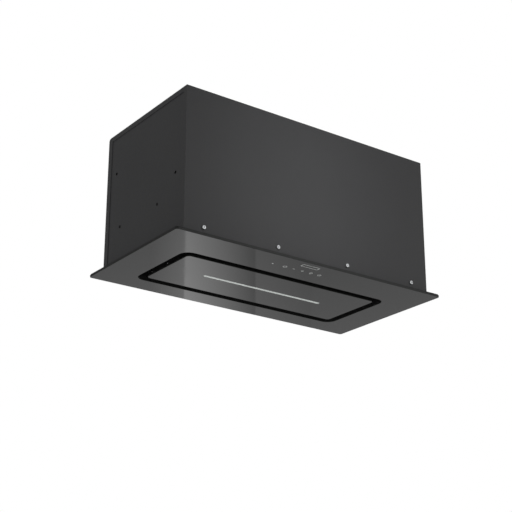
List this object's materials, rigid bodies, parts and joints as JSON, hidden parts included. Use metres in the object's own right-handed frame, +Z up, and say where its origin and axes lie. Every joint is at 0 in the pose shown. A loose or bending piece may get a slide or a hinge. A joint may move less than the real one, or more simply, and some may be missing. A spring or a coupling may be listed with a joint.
{
  "type": "ceiling range hood",
  "caption": "Built-in ceiling range hood: black glass flange, drop-down centre panel with a light strip and a suction gap around it, grease filters, blower and duct collar.",
  "frame": {"origin": "plan centre of the glass flange, on its underside that faces the cooktop", "axes": "+X along the long side, +Z up, -Y the side with the touch keys"},
  "size_m": [0.6, 0.3, 0.3305],
  "materials": {
    "black_glass": "polished, opaque black behind",
    "grey_paint": "satin dark grey powder coat",
    "dark_steel": "black powder coat",
    "zinc": "zinc plated",
    "steel_shaft": "ground",
    "motor_paint": "satin",
    "aluminium": "satin anodised",
    "black_plastic": "fine texture",
    "white_plastic": "satin",
    "frosted_lens": "frosted",
    "circuit_board": "solder mask",
    "receiver_dark": "clear dark",
    "black_rubber": "matt"
  },
  "bodies": {
    "housing": {"blower_hanger": "zinc", "bottom_frame": "dark_steel", "cable_grommet": "black_rubber", "collar_screws": "zinc", "control_board": "circuit_board", "control_box": "zinc", "control_lid": "zinc", "duct_collar": "black_plastic", "filter_keeper_left": "dark_steel", "filter_keeper_right": "dark_steel", "filter_rail": "dark_steel", "filter_shelf": "zinc", "flap_pin": "zinc", "front_panel": "grey_paint", "front_screws": "zinc", "glass_frame": "black_glass", "hinge_bracket_left": "dark_steel", "hinge_bracket_right": "dark_steel", "inlet_ring_left": "black_plastic", "inlet_ring_right": "black_plastic", "led_driver": "white_plastic", "magnetic_catch_left": "black_plastic", "magnetic_catch_right": "black_plastic", "motor_body": "motor_paint", "motor_bracket": "zinc", "rear_screws": "zinc", "rear_top_shell": "grey_paint", "run_capacitor": "aluminium", "scroll_left": "black_plastic", "scroll_right": "black_plastic", "shelf_rivets": "dark_steel", "side_panel_left": "grey_paint", "side_panel_right": "grey_paint", "signal_receiver": "receiver_dark", "suction_box": "dark_steel", "terminal_block": "white_plastic", "touch_board": "circuit_board", "touch_cover": "black_plastic"},
    "panel": {"panel_glass": "black_glass", "panel_tray": "dark_steel", "led_lens": "frosted_lens", "led_profile": "aluminium", "led_board": "circuit_board", "hinge_yoke_left": "dark_steel", "hinge_yoke_right": "dark_steel", "hinge_pin_left": "zinc", "hinge_pin_right": "zinc", "striker_left": "zinc", "striker_right": "zinc"},
    "filter_left": {"filter_frame_left": "aluminium", "filter_mesh_left": "aluminium"},
    "filter_right": {"filter_frame_right": "aluminium", "filter_mesh_right": "aluminium"},
    "latch_left": {"filter_latch_left": "black_plastic"},
    "latch_right": {"filter_latch_right": "black_plastic"},
    "impeller": {"impeller_wheel": "black_plastic", "motor_shaft": "steel_shaft"},
    "front_flap": {"front_flap": "black_plastic"},
    "rear_flap": {"rear_flap": "black_plastic"}
  },
  "joints": [
    {"name": "panel_swing", "type": "hinge", "parent": "housing", "child": "panel", "pos_m": [0, 0.081, 0.011], "axis": [1, 0, 0], "range_deg": [0, 90]},
    {"name": "filter_left_tilt", "type": "hinge", "parent": "housing", "child": "filter_left", "pos_m": [0, 0.099, 0.08], "axis": [1, 0, 0], "range_deg": [0, 20]},
    {"name": "filter_right_tilt", "type": "hinge", "parent": "housing", "child": "filter_right", "pos_m": [0, 0.099, 0.08], "axis": [1, 0, 0], "range_deg": [0, 20]},
    {"name": "latch_left_slide", "type": "slide", "parent": "filter_left", "child": "latch_left", "axis": [0, 1, 0], "range_m": [0, 0.006], "stiffness_N_per_m": 300, "springref_m": -0.002},
    {"name": "latch_right_slide", "type": "slide", "parent": "filter_right", "child": "latch_right", "axis": [0, 1, 0], "range_m": [0, 0.006], "stiffness_N_per_m": 300, "springref_m": -0.002},
    {"name": "impeller_spin", "type": "hinge", "parent": "housing", "child": "impeller", "pos_m": [0, -0.022, 0.19125], "axis": [1, 0, 0], "continuous": true},
    {"name": "front_flap_swing", "type": "hinge", "parent": "housing", "child": "front_flap", "pos_m": [0, 0.04587, 0.2943], "axis": [1, 0, 0], "range_deg": [-75, 0]},
    {"name": "rear_flap_swing", "type": "hinge", "parent": "housing", "child": "rear_flap", "pos_m": [0, 0.04587, 0.2943], "axis": [1, 0, 0], "range_deg": [0, 75]}
  ]
}
